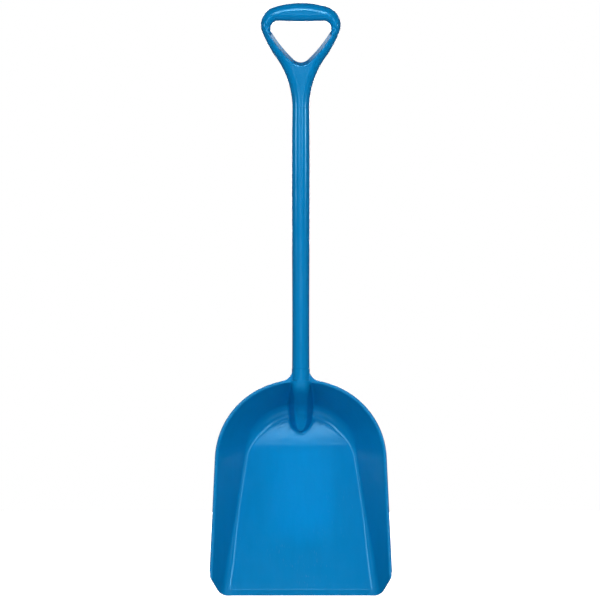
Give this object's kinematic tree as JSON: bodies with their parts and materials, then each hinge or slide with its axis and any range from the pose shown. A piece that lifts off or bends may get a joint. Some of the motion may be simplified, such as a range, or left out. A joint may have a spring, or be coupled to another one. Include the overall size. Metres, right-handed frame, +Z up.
{
  "type": "scoop shovel",
  "caption": "Deep moulded plastic scoop shovel with an arched heel, flared side walls, a straight round shaft and a closed D-grip.",
  "frame": {"origin": "under the middle of the grip's crossbar, where the shovel hangs on a peg", "axes": "+Z up the shaft axis towards the grip, +X to the right, the open side of the scoop faces -Y"},
  "size_m": [0.3432, 0.1269, 1.1188],
  "materials": {
    "blade_plastic": "satin moulded polypropylene",
    "shaft_plastic": "satin moulded polypropylene",
    "grip_plastic": "satin moulded polypropylene",
    "inner_plastic": "as moulded, out of sight"
  },
  "bodies": {
    "root": {"blade_pan": "blade_plastic", "socket_cover": "blade_plastic", "shaft_tube": "shaft_plastic", "shaft_foot_plug": "inner_plastic", "shaft_head_plug": "inner_plastic", "grip_front_shell": "grip_plastic", "grip_rear_shell": "grip_plastic", "grip_lock_pin": "grip_plastic", "socket_lock_pin": "blade_plastic"}
  },
  "joints": []
}
